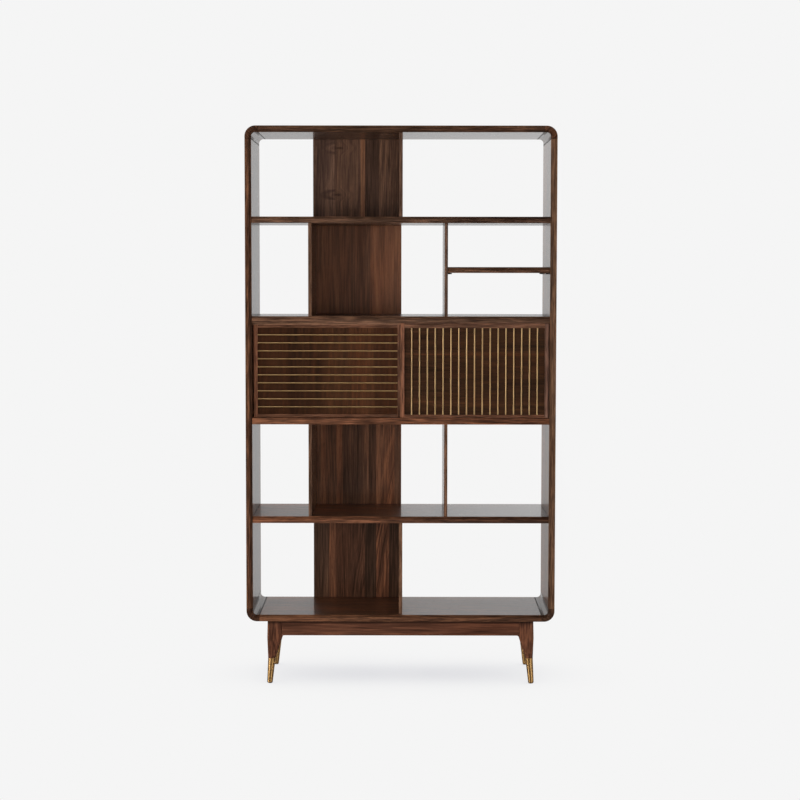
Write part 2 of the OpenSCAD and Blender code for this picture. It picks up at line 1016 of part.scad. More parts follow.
module back_dowels() {
    color(beech)
        for (row = [BOTTOM:TOP])
            back_dowels_in(row, 0);
}

top_board();
bottom_board();
side_board(-1);  // left_side
side_board(1);  // right_side
corner_block(-1, true);  // top_left_corner
corner_block(1, true);  // top_right_corner
corner_block(-1, false);  // bottom_left_corner
corner_block(1, false);  // bottom_right_corner
upper_shelf();
cabinet_top();
cabinet_bottom();
lower_shelf();
top_row_divider();
left_divider(SECOND);  // second_row_left_divider
right_divider(SECOND);  // second_row_right_divider
left_divider(FOURTH);  // fourth_row_left_divider
right_divider(FOURTH);  // fourth_row_right_divider
bottom_row_divider();
row_back_board(TOP);  // top_row_back
row_back_board(SECOND);  // second_row_back
row_back_board(FOURTH);  // fourth_row_back
row_back_board(BOTTOM);  // bottom_row_back
cabinet_partition();
cabinet_back();
parting_strip();
small_shelf();
shelf_supports();
left_door_stile(false);  // left_door_left_stile
left_door_stile(true);  // left_door_right_stile
left_door_top_rail();
left_door_bottom_rail();
left_door_panel();
left_door_rods();
left_door_glides();
right_door_stile(false);  // right_door_left_stile
right_door_stile(true);  // right_door_right_stile
right_door_top_rail();
right_door_bottom_rail();
right_door_panel();
right_door_rods();
right_door_glides();
front_apron();
back_apron();
left_apron();
right_apron();
leg(-1, -1);  // front_left_leg
leg(1, -1);  // front_right_leg
leg(-1, 1);  // back_left_leg
leg(1, 1);  // back_right_leg
ferrule(-1, -1);  // front_left_ferrule
ferrule(1, -1);  // front_right_ferrule
ferrule(-1, 1);  // back_left_ferrule
ferrule(1, 1);  // back_right_ferrule
corner_braces();
base_screws();
corner_dowels();
shelf_dowels();
divider_dowels();
back_dowels();
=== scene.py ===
"""Looks of the bookcase: softened walnut boards, glued planks, brass rods and ferrules, a pale studio."""

import json
import math
import random

import bmesh
import bpy
from mathutils import Matrix, Vector


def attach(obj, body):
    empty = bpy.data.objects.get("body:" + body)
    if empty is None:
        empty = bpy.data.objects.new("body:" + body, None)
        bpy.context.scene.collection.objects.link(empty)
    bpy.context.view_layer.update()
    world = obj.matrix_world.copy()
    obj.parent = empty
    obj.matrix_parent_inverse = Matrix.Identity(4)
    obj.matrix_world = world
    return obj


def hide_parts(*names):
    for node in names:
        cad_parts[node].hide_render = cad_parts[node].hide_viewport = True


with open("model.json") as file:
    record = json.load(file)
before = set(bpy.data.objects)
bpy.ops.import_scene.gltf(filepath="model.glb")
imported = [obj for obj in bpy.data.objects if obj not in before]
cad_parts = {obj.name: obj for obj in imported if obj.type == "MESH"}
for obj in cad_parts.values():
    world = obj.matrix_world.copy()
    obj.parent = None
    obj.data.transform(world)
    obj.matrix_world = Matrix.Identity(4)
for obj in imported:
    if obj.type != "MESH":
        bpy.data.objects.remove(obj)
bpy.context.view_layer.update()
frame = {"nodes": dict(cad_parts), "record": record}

MM = 0.001
WHITE = 0.913
AXES = {"x": 0, "y": 1, "z": 2}
CASE_MIDDLE = Vector((0, 0, 1.1))
chance = random.Random(7)

# Camera: solved from the straight edges of the case in the photograph
CAMERA_PLACE = Vector((20.57, -6980.4, 1496.2)) * MM
CAMERA_YAW = -0.0034
CAMERA_PITCH = 0.0685
CAMERA_ROLL = 0.0011
FOCAL_PIXELS = 1902.45
FRAME_PIXELS = 800
SENSOR_WIDTH = 36.0
CAMERA_RANGE = (0.1, 100)

# Cleaning of the meshes: points closer than a weld are one, edges shorter than a splinter go, and faces
# that meet at less than the flat angle are one. Below the smooth angle they are shaded as one curve
WELD = 1e-6
SPLINTER = 3e-6
FLAT_ANGLE = math.radians(0.3)
SMOOTH_ANGLE = math.radians(38)
# Arrises: every edge that is sharp and long enough is rounded
SHARP_ANGLE = math.radians(30)
SHORTEST_ARRIS = 1.4 * MM
ARRIS = 0.7 * MM
ARRIS_STEPS = 3

# Staves: their width in boards, back boards and door panels, how much their shares of the width, tones
# and warmths differ within a board, and how figured they are
STAVE_WIDTH = 98 * MM
BACK_STAVE = 70 * MM
PANEL_STAVE = 90 * MM
SHARE_SPREAD = 0.12
TONE_SPREAD = 0.25
WARMTH_SPREAD = 0.3
FIGURE_RANGE = (0.01, 0.06)
# The heart of the tree lies this far from the middle of its stave: sideways, outward from its face and
# along it. In a boldly figured stave it lies closer to the face
HEART_SIDEWAYS = 0.03
HEART_OUTWARD = (0.04, 0.14)
HEART_ALONG = 0.5
BOLD_FIGURE = 0.09
BOLD_CLOSENESS = 0.3

# Inside the case a dark glue line runs along each seam of a corner block, on faces that look forward less
# than this
SEAM = 2.0 * MM
SEAM_DARKNESS = 1.0
SEAM_FORWARD = 0.5
# The bevel round the inside of the case's front: its faces look this much forward and inward, it is
# darkened with painted shade, and its end grain at the corners is dull
BEVEL_FORWARD = 0.25
BEVEL_INWARD = 0.2
BEVEL_PAINTED_SHADE = -0.45
BEVEL_DULLNESS = 0.9

# Marks in walnut: how many there are in a metre along and across the grain
BENDS = (1.6, 9)
STREAKS = (4.5, 60)
LINES = (26, 190)
CLOUDS = (2.2, 9)
TICKS = (32, 260)
PORES = (60, 700)
RINGS = 95.0
WORN_PATCHES = 60.0
# In a board of fine lines only there are this many fewer of them in a metre, as they run longer
LINES_LONGER = 14
# How far a crooked tree bends its rings, in metres, along, beside and behind
CROOK = (0, 0.05, 0.05)
# The part of the noise that shows as ticks, pores and worn patches, and how strong the patches are
TICK_RANGE = (0.58, 0.72)
PORE_RANGE = (0.54, 0.70)
WORN_RANGE = (0.35, 0.7)
WORN_STRENGTH = (0.1, 0.6)
# What the marks and a stave's own tone add to the lightness of the wood, and how much more the rings of
# a figured stave add
RING_SHARE = 0.26
STREAK_SHARE = 0.20
LINE_SHARE = 0.44
ONLY_LINES_SHARE = 0.46
CLOUD_SHARE = 0.10
TONE_SHARE = 0.13
FIGURE_STRENGTH = 2.5
# Lightness at which the wood has its palette's dark, middle and light colour
PALETTE_STOPS = (0.36, 0.5, 0.64)
# Tints of warm, cool and worn wood, and where the warm one sets in
WARM_TINT = (1.18, 0.88, 0.74, 1)
COOL_TINT = (0.94, 1.06, 1.3, 1)
WORN_TINT = (1.5, 1.45, 1.4, 1)
WARM_RANGE = (0.45, 1.3)
# How strongly dark marks cover the wood, and their share of its dark colour
PORE_COVER = 0.4
TICK_COVER = 0.55
TICK_SHADE = 0.6
GLUE_COVER = 0.85
GLUE_SHADE = 0.3
# Roughness and relief: the lines and pores make both
ROUGH_LINES = 0.6
ROUGH_PORES = 0.5
ROUGH_RANGE = (0.1, 0.9)
WOOD_ROUGHNESS = (0.38, 0.58)
RELIEF_LINES = 0.5
WOOD_RELIEF = (0.3, 0.08 * MM)
# The sheen of the bare wood and the film of oil over it
WOOD_SHEEN = 0.05
OIL_ROUGHNESS = 0.12
OIL_INDEX = 1.27
# Painted shade on the base just under the case: how far down from its top it reaches, how much it covers,
# and its share of the dark colour
UNDER_CASE_SHADE_REACH = 16 * MM
UNDER_CASE_SHADE_COVER = 0.95
UNDER_CASE_SHADE_SHARE = 0.4

# Knots of the top row's back board: their places, their stretch, how far and how much they push the rings
# outward, and the size and darkness of their cores
KNOTS = ((-0.230, 0.183, 1.949), (-0.237, 0.183, 1.775))
KNOT_STRETCH = (0.6, 1, 1.6)
KNOT_SWIRL = 0.045
KNOT_PUSH = 0.03
KNOT_CORE = (0.0033, 0.011)
KNOT_COVER = 0.6
KNOT_SHADE = 0.35

# Metal: brush lines and patches of tarnish in a metre, how they show, the depth of the lines, and the
# turn of the gloss of a piece from a lathe
BRUSH_LINES = (40, 3500)
TARNISH_PATCHES = 35.0
TARNISH_RANGE = (0.35, 0.75)
TARNISH_SHADE = 0.72
TARNISH_ROUGHNESS = 0.6
METAL_ROUGH_RANGE = (0.5, 1.1)
METAL_DEPTH = 0.03 * MM
QUARTER_TURN = 0.25

# Beech: fibres and flecks in a metre along and across, and how they show
FIBRES = (30, 900)
FLECKS = (160, 900)
FLECK_RANGE = (0.56, 0.66)
FLECK_COVER = 0.5
BEECH_ROUGHNESS = 0.6
BEECH_RELIEF = (0.3, 0.1 * MM)

# Nylon: grains and cloudy patches in a metre, and how they show
NYLON_GRAINS = 900.0
NYLON_PATCHES = 60.0
NYLON_LIGHT = 1.4
NYLON_RELIEF = (0.3, 0.05 * MM)

# Stage: to the camera the floor is white, darkened only where the object stands over it. In the gloss of
# the case it is plain and dim near the object, and white from a distance behind it
FLOOR_RADIUS = 40
FLOOR_SIDES = 96
FLOOR_COLOUR = (0.8, 0.8, 0.8, 1)
MIRROR_FLOOR = (0.34, 0.30, 0.26, 1)
MIRROR_CLEAR = (0.9, 1.17)
SHADOW_DISTANCE = 0.43
SHADOW_SAMPLES = 16
SHADOW_DEPTH = 0.32
SHADOW_TINT = (0.80, 0.81, 1.0, 1)

# The room round the object, by the direction in which it is met: dim in front, lighter at the sides and
# dim above, with white behind, which narrows to a faint rest at the sides
FRONT_LEVEL = 0.15
SIDE_LEVEL = 0.3
SIDE_RANGE = (0.4, 0.9)
CEILING_SHARE = 0.25
CEILING_RANGE = (0.25, 0.75)
BEHIND_RANGE = (-0.1, 0.2)
BACKDROP_TOP = (0.3, 0.8)
BACKDROP_SIDES = (0.3, 0.45)
BACKDROP_REST = 0.08
# For gloss the room is dimmer, but has two soft panels at the sides of the front and a soft light above:
# the middle, half width and strength of each over the sideways or the upward part of the direction
MIRRORED_ROOM = 0.4
SIDE_PANELS = ((-0.82, 0.16, 5.6), (0.62, 0.15, 4.4))
TOP_PANEL = (0.5, 0.22, 1.6)
PANEL_CORE = 0.7
# Lamps: name, place, width and height, and power. All aim at one place inside the case
LAMP_AIM = Vector((0, 0, 1.0))
LAMPS = [
    ("key", (-2.9, -4.9, 1.2), (2.0, 2.4), 180),
    ("frontal", (0.3, -6.2, 1.2), (1.6, 1.6), 130),
    ("fill", (3.9, -3.9, 1.0), (1.6, 2.0), 16),
    ("rear", (0.8, 6.5, 1.6), (2.4, 2.4), 300),
    ("left_flank", (-5.6, 1.8, 1.3), (2.0, 2.4), 210),
    ("right_flank", (5.6, 1.8, 1.3), (2.0, 2.4), 210),
    ("above", (0, 0.9, 6.0), (2.4, 1.6), 130),
]

bodies = frame["record"]["behaviour"]["bodies"]
body_of = {node: body for body, nodes in bodies.items() for node in nodes}
slot_of = {part["node"]: part["material_slot"] for part in frame["record"]["subparts"]}
base_top = max(vert.co.z for vert in frame["nodes"]["front_apron"].data.vertices)


def set_camera():
    """The photograph's own camera."""
    sin_yaw, cos_yaw = math.sin(CAMERA_YAW), math.cos(CAMERA_YAW)
    sin_pitch, cos_pitch = math.sin(CAMERA_PITCH), math.cos(CAMERA_PITCH)
    forward = Vector((sin_yaw * cos_pitch, cos_yaw * cos_pitch, -sin_pitch))
    level = Vector((cos_yaw, -sin_yaw, 0))
    down = -level.cross(forward)
    right = math.cos(CAMERA_ROLL) * level - math.sin(CAMERA_ROLL) * down
    up = -(math.cos(CAMERA_ROLL) * down + math.sin(CAMERA_ROLL) * level)
    data = bpy.data.cameras.new("camera")
    data.sensor_width = SENSOR_WIDTH
    data.lens = FOCAL_PIXELS / FRAME_PIXELS * SENSOR_WIDTH
    data.clip_start, data.clip_end = CAMERA_RANGE
    camera = bpy.data.objects.new("camera", data)
    bpy.context.scene.collection.objects.link(camera)
    turn = Matrix((right, up, -forward)).transposed()
    camera.matrix_world = Matrix.Translation(CAMERA_PLACE) @ turn.to_4x4()
    bpy.context.scene.camera = camera


# Turns that bring the grain of a board onto the x axis of its marks
GRAIN_TURN = {
    "x": (0, 0, 0),
    "y": (0, 0, math.radians(-90)),
    "z": (0, math.radians(90), 0),
    "rising": (0, math.radians(45), 0),
    "falling": (0, math.radians(-45), 0),
}


class Nodes:
    """Short calls for building one node tree."""

    def __init__(self, owner):
        owner.use_nodes = True
        self.tree = owner.node_tree
        self.tree.nodes.clear()

    def add(self, kind, inputs=None, out=0, **settings):
        """One output of a new node. Each of its inputs is a number, a colour or the output of another."""
        node = self.tree.nodes.new("ShaderNode" + kind)
        for name, value in settings.items():
            setattr(node, name, value)
        for key, value in (inputs or {}).items():
            if isinstance(value, bpy.types.NodeSocket):
                self.tree.links.new(value, node.inputs[key])
            else:
                node.inputs[key].default_value = value
        return node.outputs[out]

    def math(self, operation, a, b=0.0):
        return self.add("Math", {0: a, 1: b}, operation=operation)

    def times(self, a, b):
        return self.math("MULTIPLY", a, b)

    def plus(self, a, b, share):
        """The sum of a and a share of b."""
        return self.math("ADD", a, self.times(b, share))

    def vector(self, operation, a, b):
        return self.add("VectorMath", {0: a, 1: b}, operation=operation)

    def part(self, vector, axis):
        return self.add("SeparateXYZ", {0: vector}, out=axis)

    def attribute(self, name, out):
        return self.add("Attribute", attribute_name=name, out=out)

    def remap(self, value, low, high, to_low=0.0, to_high=1.0, smooth=False):
        kind = "SMOOTHSTEP" if smooth else "LINEAR"
        keys = {"Value": value, "From Min": low, "From Max": high, "To Min": to_low, "To Max": to_high}
        return self.add("MapRange", keys, interpolation_type=kind)

    def mix(self, factor, a, b, blend="MIX"):
        return self.add("Mix", {0: factor, 6: a, 7: b}, out=2, data_type="RGBA", blend_type=blend)

    def tint(self, colour, tint):
        return self.mix(1.0, colour, tint, "MULTIPLY")

    def noise(self, vector, scale, detail=2.0, roughness=0.5, out=0):
        keys = {"Vector": vector, "Scale": scale, "Detail": detail, "Roughness": roughness}
        return self.add("TexNoise", keys, out=out)

    def marks(self, vector, number, detail=2.0, roughness=0.5, out=0):
        """Noise with one number of marks in a metre along the x axis and another across it."""
        along, across = number
        stretched = self.vector("MULTIPLY", vector, (along, across, across))
        return self.noise(stretched, 1.0, detail, roughness, out)

    def turned(self, vector, grain):
        keys = {"Vector": vector, "Rotation": GRAIN_TURN[grain]}
        return self.add("VectorRotate", keys, rotation_type="EULER_XYZ")

    def ramp(self, value, stops):
        """A colour that follows a value through stops of place and colour."""
        node = self.tree.nodes.new("ShaderNodeValToRGB")
        self.tree.links.new(value, node.inputs[0])
        while len(node.color_ramp.elements) < len(stops):
            node.color_ramp.elements.new(0.5)
        for element, (place, colour) in zip(node.color_ramp.elements, stops):
            element.position = place
            element.color = (*colour, 1)
        return node.outputs[0]

    def bump(self, height, relief):
        """Relief from a height, as its strength and its depth in metres."""
        strength, depth = relief
        return self.add("Bump", {"Height": height, "Strength": strength, "Distance": depth})

    def principled(self, keys):
        self.output("OutputMaterial", self.add("BsdfPrincipled", keys))

    def output(self, kind, socket):
        node = self.tree.nodes.new("ShaderNode" + kind)
        self.tree.links.new(socket, node.inputs["Surface"])


def linear(red, green, blue):
    """Colour in linear light of an sRGB colour given in 0 to 255."""
    def channel(value):
        value = value / 255
        return value / 12.92 if value <= 0.04045 else ((value + 0.055) / 1.055) ** 2.4
    return channel(red), channel(green), channel(blue)


def opaque(colour, share=1.0):
    """A colour, or a share of it, as a socket takes it."""
    return (*(channel * share for channel in colour), 1)


def new_material(name):
    """A material without nodes, the calls that build them, and the place on the object."""
    material = bpy.data.materials.new(name)
    tree = Nodes(material)
    return material, tree, tree.add("TexCoord", out="Object")


def ring_radius(tree, place, turned, figure, knots):
    """How far a place is from the heart of a crooked tree with knots, and how deep it is in their cores."""
    bend = tree.marks(turned, BENDS, out="Color")
    bend = tree.vector("SUBTRACT", bend, (0.5,) * 3)
    bent = tree.vector("ADD", turned, tree.vector("MULTIPLY", bend, CROOK))
    along, beside, behind = (tree.part(bent, axis) for axis in range(3))
    behind = tree.plus(behind, along, figure)
    radius = tree.math("SQRT", tree.plus(tree.times(beside, beside), behind, behind))
    cores = None
    for knot in knots:
        apart = tree.vector("MULTIPLY", tree.vector("SUBTRACT", place, knot), KNOT_STRETCH)
        away = tree.add("VectorMath", {0: apart}, out="Value", operation="LENGTH")
        push = tree.remap(away, 0.0, KNOT_SWIRL, KNOT_PUSH, 0.0, smooth=True)
        radius = tree.math("ADD", radius, push)
        core = tree.remap(away, *KNOT_CORE, KNOT_COVER, 0.0, smooth=True)
        cores = core if cores is None else tree.math("MAXIMUM", cores, core)
    return radius, cores


def walnut(name, grain, palette, style, drift=None, knots=(), under_case_shade_top=None):
    """Oiled walnut: growth rings round a heart, streaks, ticks, pores, knots, worn arrises, and painted
    light and shade.
    """
    contrast, fineness, only_lines, length, gloss = style
    dark = palette[0]
    material, tree, place = new_material(name)
    look = tree.attribute("look", "Vector")
    tone, warmth, figure = (tree.part(look, axis) for axis in range(3))
    edge = tree.attribute("wear", "Fac")
    wear = tree.math("MAXIMUM", edge, 0.0)
    glue = tree.math("MAXIMUM", tree.times(edge, -1.0), 0.0)
    dull = tree.math("MAXIMUM", glue, tree.attribute("dull", "Fac"))
    local = tree.vector("SUBTRACT", place, tree.attribute("heart", "Vector"))
    turned = tree.turned(local, grain)

    def fine(number):
        """The number of marks in a metre in a board of this fineness and length of marks."""
        along, across = number
        return along / length, across * fineness

    radius, cores = ring_radius(tree, place, turned, figure, knots)
    rings = tree.add("TexNoise", {"W": radius, "Scale": RINGS, "Detail": 3.0, "Roughness": 0.6},
                     noise_dimensions="1D")
    streaks = tree.marks(turned, fine(STREAKS), detail=3.0, roughness=0.6)
    lines = tree.marks(turned, fine((LINES[0] - LINES_LONGER * only_lines, LINES[1])), roughness=0.6)
    clouds = tree.marks(turned, CLOUDS)
    ticks = tree.marks(turned, (TICKS[0], TICKS[1] * fineness), detail=1.0)
    ticks = tree.remap(ticks, *TICK_RANGE)
    pores = tree.remap(tree.marks(turned, PORES), *PORE_RANGE)

    value = tree.plus(tree.times(rings, RING_SHARE), streaks, STREAK_SHARE)
    value = tree.times(value, 1 - only_lines)
    value = tree.plus(value, lines, LINE_SHARE + ONLY_LINES_SHARE * only_lines)
    value = tree.plus(value, clouds, CLOUD_SHARE)
    value = tree.remap(value, 0.0, 1.0, 0.5 - 0.5 * contrast, 0.5 + 0.5 * contrast)
    value = tree.plus(value, tree.math("SUBTRACT", rings, 0.5), tree.times(figure, FIGURE_STRENGTH))
    value = tree.plus(value, tone, TONE_SHARE)
    # Painted light and shade: the tone changes along one axis as the light falls off across the board, and
    # the gloss changes with it
    if drift:
        axis, middle, painted_light_drift, gloss_drift = drift
        off = tree.math("SUBTRACT", tree.part(place, AXES[axis]), middle)
        value = tree.plus(value, off, painted_light_drift)
        gloss = tree.times(tree.math("ADD", tree.times(off, gloss_drift), 1.0), gloss)

    colour = tree.ramp(value, list(zip(PALETTE_STOPS, palette)))
    warm = tree.remap(tree.math("ADD", warmth, clouds), *WARM_RANGE)
    colour = tree.mix(warm, colour, tree.tint(colour, WARM_TINT))
    cool = tree.remap(warmth, -1.0, 0.0, 1.0, 0.0)
    colour = tree.mix(cool, colour, tree.tint(colour, COOL_TINT))
    colour = tree.mix(tree.times(pores, PORE_COVER * contrast), colour, opaque(dark))
    tick_cover = TICK_COVER * contrast * (1 - only_lines)
    colour = tree.mix(tree.times(ticks, tick_cover), colour, opaque(dark, TICK_SHADE))
    if cores is not None:
        colour = tree.mix(cores, colour, opaque(dark, KNOT_SHADE))
    # Painted shade: the base grows darker towards its top, just under the case
    if under_case_shade_top is not None:
        height = tree.part(place, AXES["z"])
        under_case_shade = tree.remap(height, under_case_shade_top - UNDER_CASE_SHADE_REACH, under_case_shade_top, 0.0, UNDER_CASE_SHADE_COVER, smooth=True)
        colour = tree.mix(under_case_shade, colour, opaque(dark, UNDER_CASE_SHADE_SHARE))
    patches = tree.remap(tree.noise(place, WORN_PATCHES, 3.0), *WORN_RANGE, *WORN_STRENGTH)
    colour = tree.mix(tree.times(wear, patches), colour, tree.tint(colour, WORN_TINT))
    colour = tree.mix(tree.times(glue, GLUE_COVER), colour, opaque(dark, GLUE_SHADE))

    rough = tree.plus(tree.times(lines, ROUGH_LINES), pores, ROUGH_PORES)
    relief = tree.math("SUBTRACT", tree.times(lines, RELIEF_LINES), pores)
    tree.principled({
        "Base Color": colour,
        "Roughness": tree.remap(rough, *ROUGH_RANGE, *WOOD_ROUGHNESS),
        "Normal": tree.bump(relief, WOOD_RELIEF),
        "Specular IOR Level": WOOD_SHEEN,
        "Coat Weight": tree.times(tree.math("SUBTRACT", 1.0, dull), gloss),
        "Coat Roughness": OIL_ROUGHNESS,
        "Coat IOR": OIL_INDEX,
    })
    return material


def brushed(name, colour, roughness, axis, spread=0.18, turned_gloss=0.0, relief=0.25):
    """Brushed or polished metal with fine lines along one axis and a little tarnish.

    A piece turned on a lathe has its finest marks round it, so its gloss is drawn out along it."""
    material, tree, place = new_material(name)
    lines = tree.marks(tree.turned(place, axis), BRUSH_LINES, detail=3.0)
    tarnish = tree.noise(place, TARNISH_PATCHES, detail=4.0, roughness=0.6)
    shown = tree.remap(tarnish, *TARNISH_RANGE)
    rough = tree.plus(lines, tarnish, TARNISH_ROUGHNESS)
    rough = tree.remap(rough, *METAL_ROUGH_RANGE, roughness - spread / 2, roughness + spread / 2)
    keys = {
        "Base Color": tree.mix(shown, opaque(colour), opaque(colour, TARNISH_SHADE)),
        "Roughness": rough,
        "Normal": tree.bump(lines, (relief, METAL_DEPTH)),
        "Metallic": 1.0,
    }
    if turned_gloss:
        keys["Tangent"] = tree.add("Tangent", direction_type="RADIAL", axis="Z")
        keys["Anisotropic"] = turned_gloss
        keys["Anisotropic Rotation"] = QUARTER_TURN
    tree.principled(keys)
    return material


def beech(name):
    """Plain pale wood of the hidden dowels and braces."""
    material, tree, place = new_material(name)
    fibres = tree.marks(place, FIBRES, detail=3.0, roughness=0.6)
    flecks = tree.remap(tree.marks(place, FLECKS), *FLECK_RANGE)
    colour = tree.mix(fibres, opaque(linear(196, 160, 118)), opaque(linear(176, 136, 94)))
    colour = tree.mix(tree.times(flecks, FLECK_COVER), colour, opaque(linear(140, 100, 66)))
    bump = tree.bump(fibres, BEECH_RELIEF)
    tree.principled({"Base Color": colour, "Roughness": BEECH_ROUGHNESS, "Normal": bump})
    return material


def moulded(name, colour, roughness):
    """Moulded nylon with a fine eggshell surface."""
    material, tree, place = new_material(name)
    patches = tree.noise(place, NYLON_PATCHES)
    clouded = tree.mix(patches, opaque(colour), opaque(colour, NYLON_LIGHT))
    bump = tree.bump(tree.noise(place, NYLON_GRAINS), NYLON_RELIEF)
    tree.principled({"Base Color": clouded, "Roughness": roughness, "Normal": bump})
    return material


# Dark, middle and light colour of the walnut in each slot
PALETTES = {
    "walnut_frame": (linear(38, 25, 17), linear(70, 49, 36), linear(105, 76, 56)),
    "walnut_shelf": (linear(42, 27, 19), linear(79, 56, 42), linear(120, 85, 64)),
    "walnut_divider": (linear(42, 27, 18), linear(79, 56, 42), linear(116, 83, 62)),
    "walnut_back": (linear(39, 26, 18), linear(72, 50, 38), linear(111, 78, 57)),
    "walnut_door": (linear(45, 29, 20), linear(87, 59, 44), linear(124, 85, 64)),
    "walnut_door_panel": (linear(28, 17, 10), linear(54, 35, 22), linear(86, 56, 36)),
    "walnut_base": (linear(41, 24, 16), linear(78, 50, 37), linear(112, 74, 54)),
}
# Contrast of the grain, how fine it is, how far it is fine lines only, how long its marks run, and the
# gloss of the oil, by slot or, where the photograph shows one board apart, by node
PLAIN_STYLE = (0.95, 1.0, 0.35, 1.5, 0.55)
STYLES = {
    "walnut_back": (0.68, 1.2, 0.2, 3.0, 0.45),
    "second_row_back": (0.45, 1.2, 0.3, 3.0, 0.45),
    "walnut_base": (0.78, 0.9, 0.85, 1.0, 0.4),
    "front_apron": (0.52, 0.9, 0.85, 2.0, 0.4),
    "walnut_door_panel": (0.6, 0.8, 0.0, 2.0, 0.1),
    "walnut_divider": (0.9, 1.2, 0.3, 1.5, 0.55),
}
# Painted light that falls off along a board, and its gloss: the axis, the place in metres where it has its
# own tone and gloss, then how much lighter its painted light makes it and how much glossier it grows in a
# metre
LIGHT_AND_GLOSS_DRIFTS = {
    "top_board": ("x", -0.3, 0, 0.3),
    "upper_shelf": ("x", 0, -0.13, 0),
    "small_shelf": ("x", 0, -0.1, 0),
    "cabinet_top": ("x", 0, -0.08, 0),
    "cabinet_bottom": ("x", 0, -0.10, 0),
    "lower_shelf": ("x", -0.06, -0.15, 1.05),
    "bottom_board": ("x", 0, -0.12, 0.4),
    "left_side": ("z", 1.6, 0, 0.2),
    "right_side": ("z", 1.6, 0, 0.5),
    "left_door_panel": ("x", 0, 0.14, 0),
    "front_apron": ("x", 0, -0.02, 0),
}
# Tone and warmth of single boards against their slot's colour, where the photograph shows them apart
PLAIN_LOOK = (0.0, 0.1)
LOOKS = {
    "top_board": (-0.05, 0.1),
    "bottom_board": (0.25, 0.7),
    "left_side": (-0.2, 0.3),
    "right_side": (0.4, 0.2),
    "top_left_corner": (-0.45, 0.5),
    "top_right_corner": (-0.4, 0.4),
    "bottom_left_corner": (-0.55, 0.5),
    "bottom_right_corner": (-0.8, 0.3),
    "upper_shelf": (-0.4, 0.1),
    "small_shelf": (0.1, 0.1),
    "cabinet_top": (0.1, -0.3),
    "parting_strip": (0.45, 0.1),
    "cabinet_bottom": (0.05, 0.6),
    "lower_shelf": (-0.05, 0.6),
    "top_row_divider": (-0.05, -0.2),
    "second_row_left_divider": (-0.2, 0.1),
    "second_row_right_divider": (-0.2, -0.5),
    "bottom_row_divider": (0.2, 0.1),
    "left_door_left_stile": (0.55, 0.4),
    "left_door_panel": (0.0, 0.5),
    "right_door_left_stile": (0.2, 0.4),
    "right_door_top_rail": (-0.4, 0.1),
    "right_door_bottom_rail": (-0.2, 0.1),
    "front_apron": (0.22, 0.35),
    "front_left_leg": (-0.1, 0.2),
    "front_right_leg": (0.45, 0.2),
    "back_right_leg": (0.3, 0.1),
}
# Planks of the back boards and of one stile from left to right, and of one door panel from the bottom up:
# share of the width, tone, warmth, and how figured they are
PLANKS = {
    "top_row_back": ((25, 0.2, -0.8, 0.03), (30, 0.2, -0.4, 0.05), (5, 0.3, 0.1, 0.02),
                     (16, -0.3, -0.4, 0.03), (24, 0.15, -0.3, 0.10)),
    "second_row_back": ((41, 0.25, 0.4, 0.02), (7, 0.1, 0.3, 0.02), (15, 0.15, 0.4, 0.02),
                        (37, 0.45, 0.4, 0.02)),
    "right_door_right_stile": ((1, -0.2, -0.8, 0.02),),
    "right_door_panel": ((24, -0.4, 0.1, 0.04), (44, -0.4, 0.2, 0.05), (2, 0.2, 0.5, 0.02),
                         (30, -0.4, 0.2, 0.04)),
    "fourth_row_back": ((5, 0.1, 0.2, 0.02), (6, 0.5, 0.4, 0.02), (13, 0.05, 0.3, 0.04),
                        (7, 0.65, 0.5, 0.05), (22, -0.1, 0.2, 0.02), (9, 0.2, 0.2, 0.02),
                        (9, -0.4, 0.2, 0.02), (5, 0.65, 0.4, 0.02), (17, 0.1, 0.5, 0.16),
                        (8, -0.1, 0.2, 0.04)),
    "bottom_row_back": ((18, -0.3, 0.0, 0.03), (8, 0.25, 0.5, 0.03), (19, -0.5, 0.5, 0.06),
                        (15, -0.45, 0.3, 0.14), (13, -0.95, 0.1, 0.06), (15, 0.0, 0.6, 0.2),
                        (12, -0.75, 0.1, 0.04)),
}
woods = {}


def wood(node, grain):
    """The walnut of a board with its grain in one direction, made once for boards that are alike."""
    slot, drift = slot_of[node], LIGHT_AND_GLOSS_DRIFTS.get(node)
    style = STYLES.get(node) or STYLES.get(slot, PLAIN_STYLE)
    key = (slot, grain, drift, style)
    if key not in woods:
        name = f"{slot}_{grain}_{len(woods)}"
        knots = KNOTS if slot == "walnut_back" else ()
        # The base pieces get painted shade just under the case
        under_case_shade_top = base_top if slot == "walnut_base" else None
        woods[key] = walnut(name, grain, PALETTES[slot], style, drift, knots, under_case_shade_top)
    return woods[key]


def welded(node):
    """A working copy of a CAD solid with its flat faces whole."""
    bm = bmesh.new()
    bm.from_mesh(frame["nodes"][node].data)
    bmesh.ops.remove_doubles(bm, verts=bm.verts, dist=WELD)
    bmesh.ops.dissolve_limit(bm, angle_limit=FLAT_ANGLE, verts=bm.verts, edges=bm.edges)
    return bm


def box_of(bm):
    """The lowest and the highest corner of a working mesh."""
    low = Vector([min(vert.co[axis] for vert in bm.verts) for axis in range(3)])
    high = Vector([max(vert.co[axis] for vert in bm.verts) for axis in range(3)])
    return low, high


def cut(bm, axis, place):
    """Cuts every face of a working mesh along a plane across an axis."""
    normal = Vector([1.0 if other == axis else 0.0 for other in range(3)])
    geometry = bm.verts[:] + bm.edges[:] + bm.faces[:]
    bmesh.ops.bisect_plane(bm, geom=geometry, plane_co=normal * place, plane_no=normal, dist=WELD)


def split_staves(bm, axis, shares):
    """Cuts a board along the glue lines between its staves and gives the places of the cuts."""
    low, high = (corner[axis] for corner in box_of(bm))
    places = [low + (high - low) * sum(shares[:count]) / sum(shares) for count in range(1, len(shares))]
    for place in places:
        cut(bm, axis, place)
    return places


